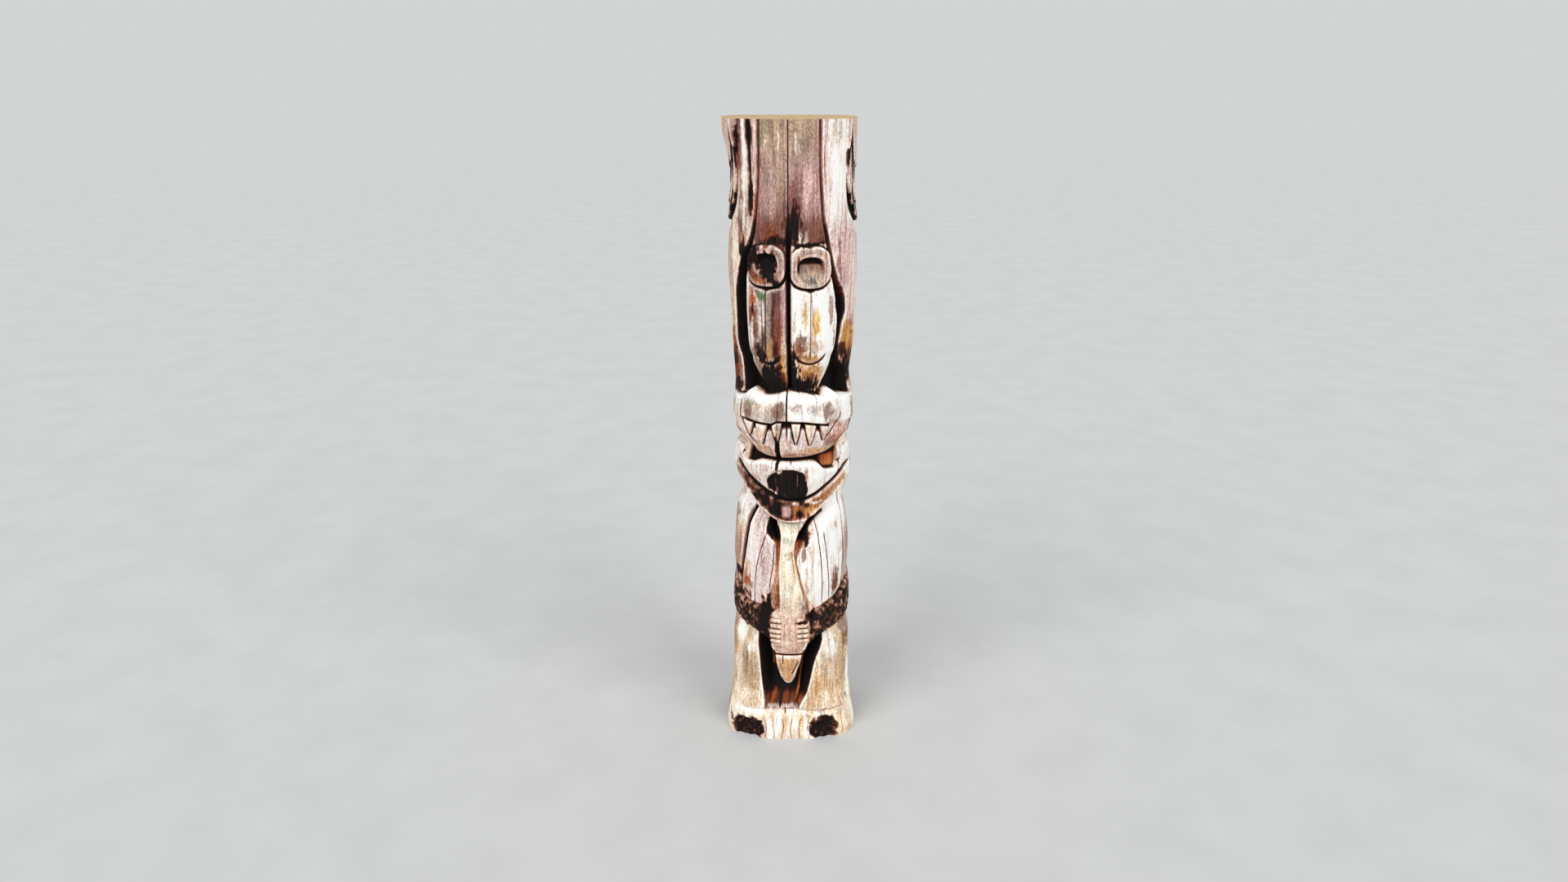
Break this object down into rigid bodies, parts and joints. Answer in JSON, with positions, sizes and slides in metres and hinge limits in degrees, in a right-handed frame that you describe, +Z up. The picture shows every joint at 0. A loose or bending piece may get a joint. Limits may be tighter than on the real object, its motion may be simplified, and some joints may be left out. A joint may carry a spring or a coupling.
{
  "type": "carved wooden totem pole section",
  "caption": "Lower length of a carved cedar totem pole, cut flat at the ground and at the top, with stacked animal figures on its front and a plain back.",
  "frame": {"origin": "centre of the log in the flat underside, at ground level", "axes": "+Z up the pole, -Y out of the carved front, +X to the right as seen from the front"},
  "size_m": [0.7622, 0.6136, 3.5],
  "materials": {
    "weathered_cedar": "bare cedar, weathered grey and brown, bleached on the high parts and stained dark in the cuts"
  },
  "bodies": {
    "root": {"carved_pole": "weathered_cedar"}
  },
  "joints": []
}
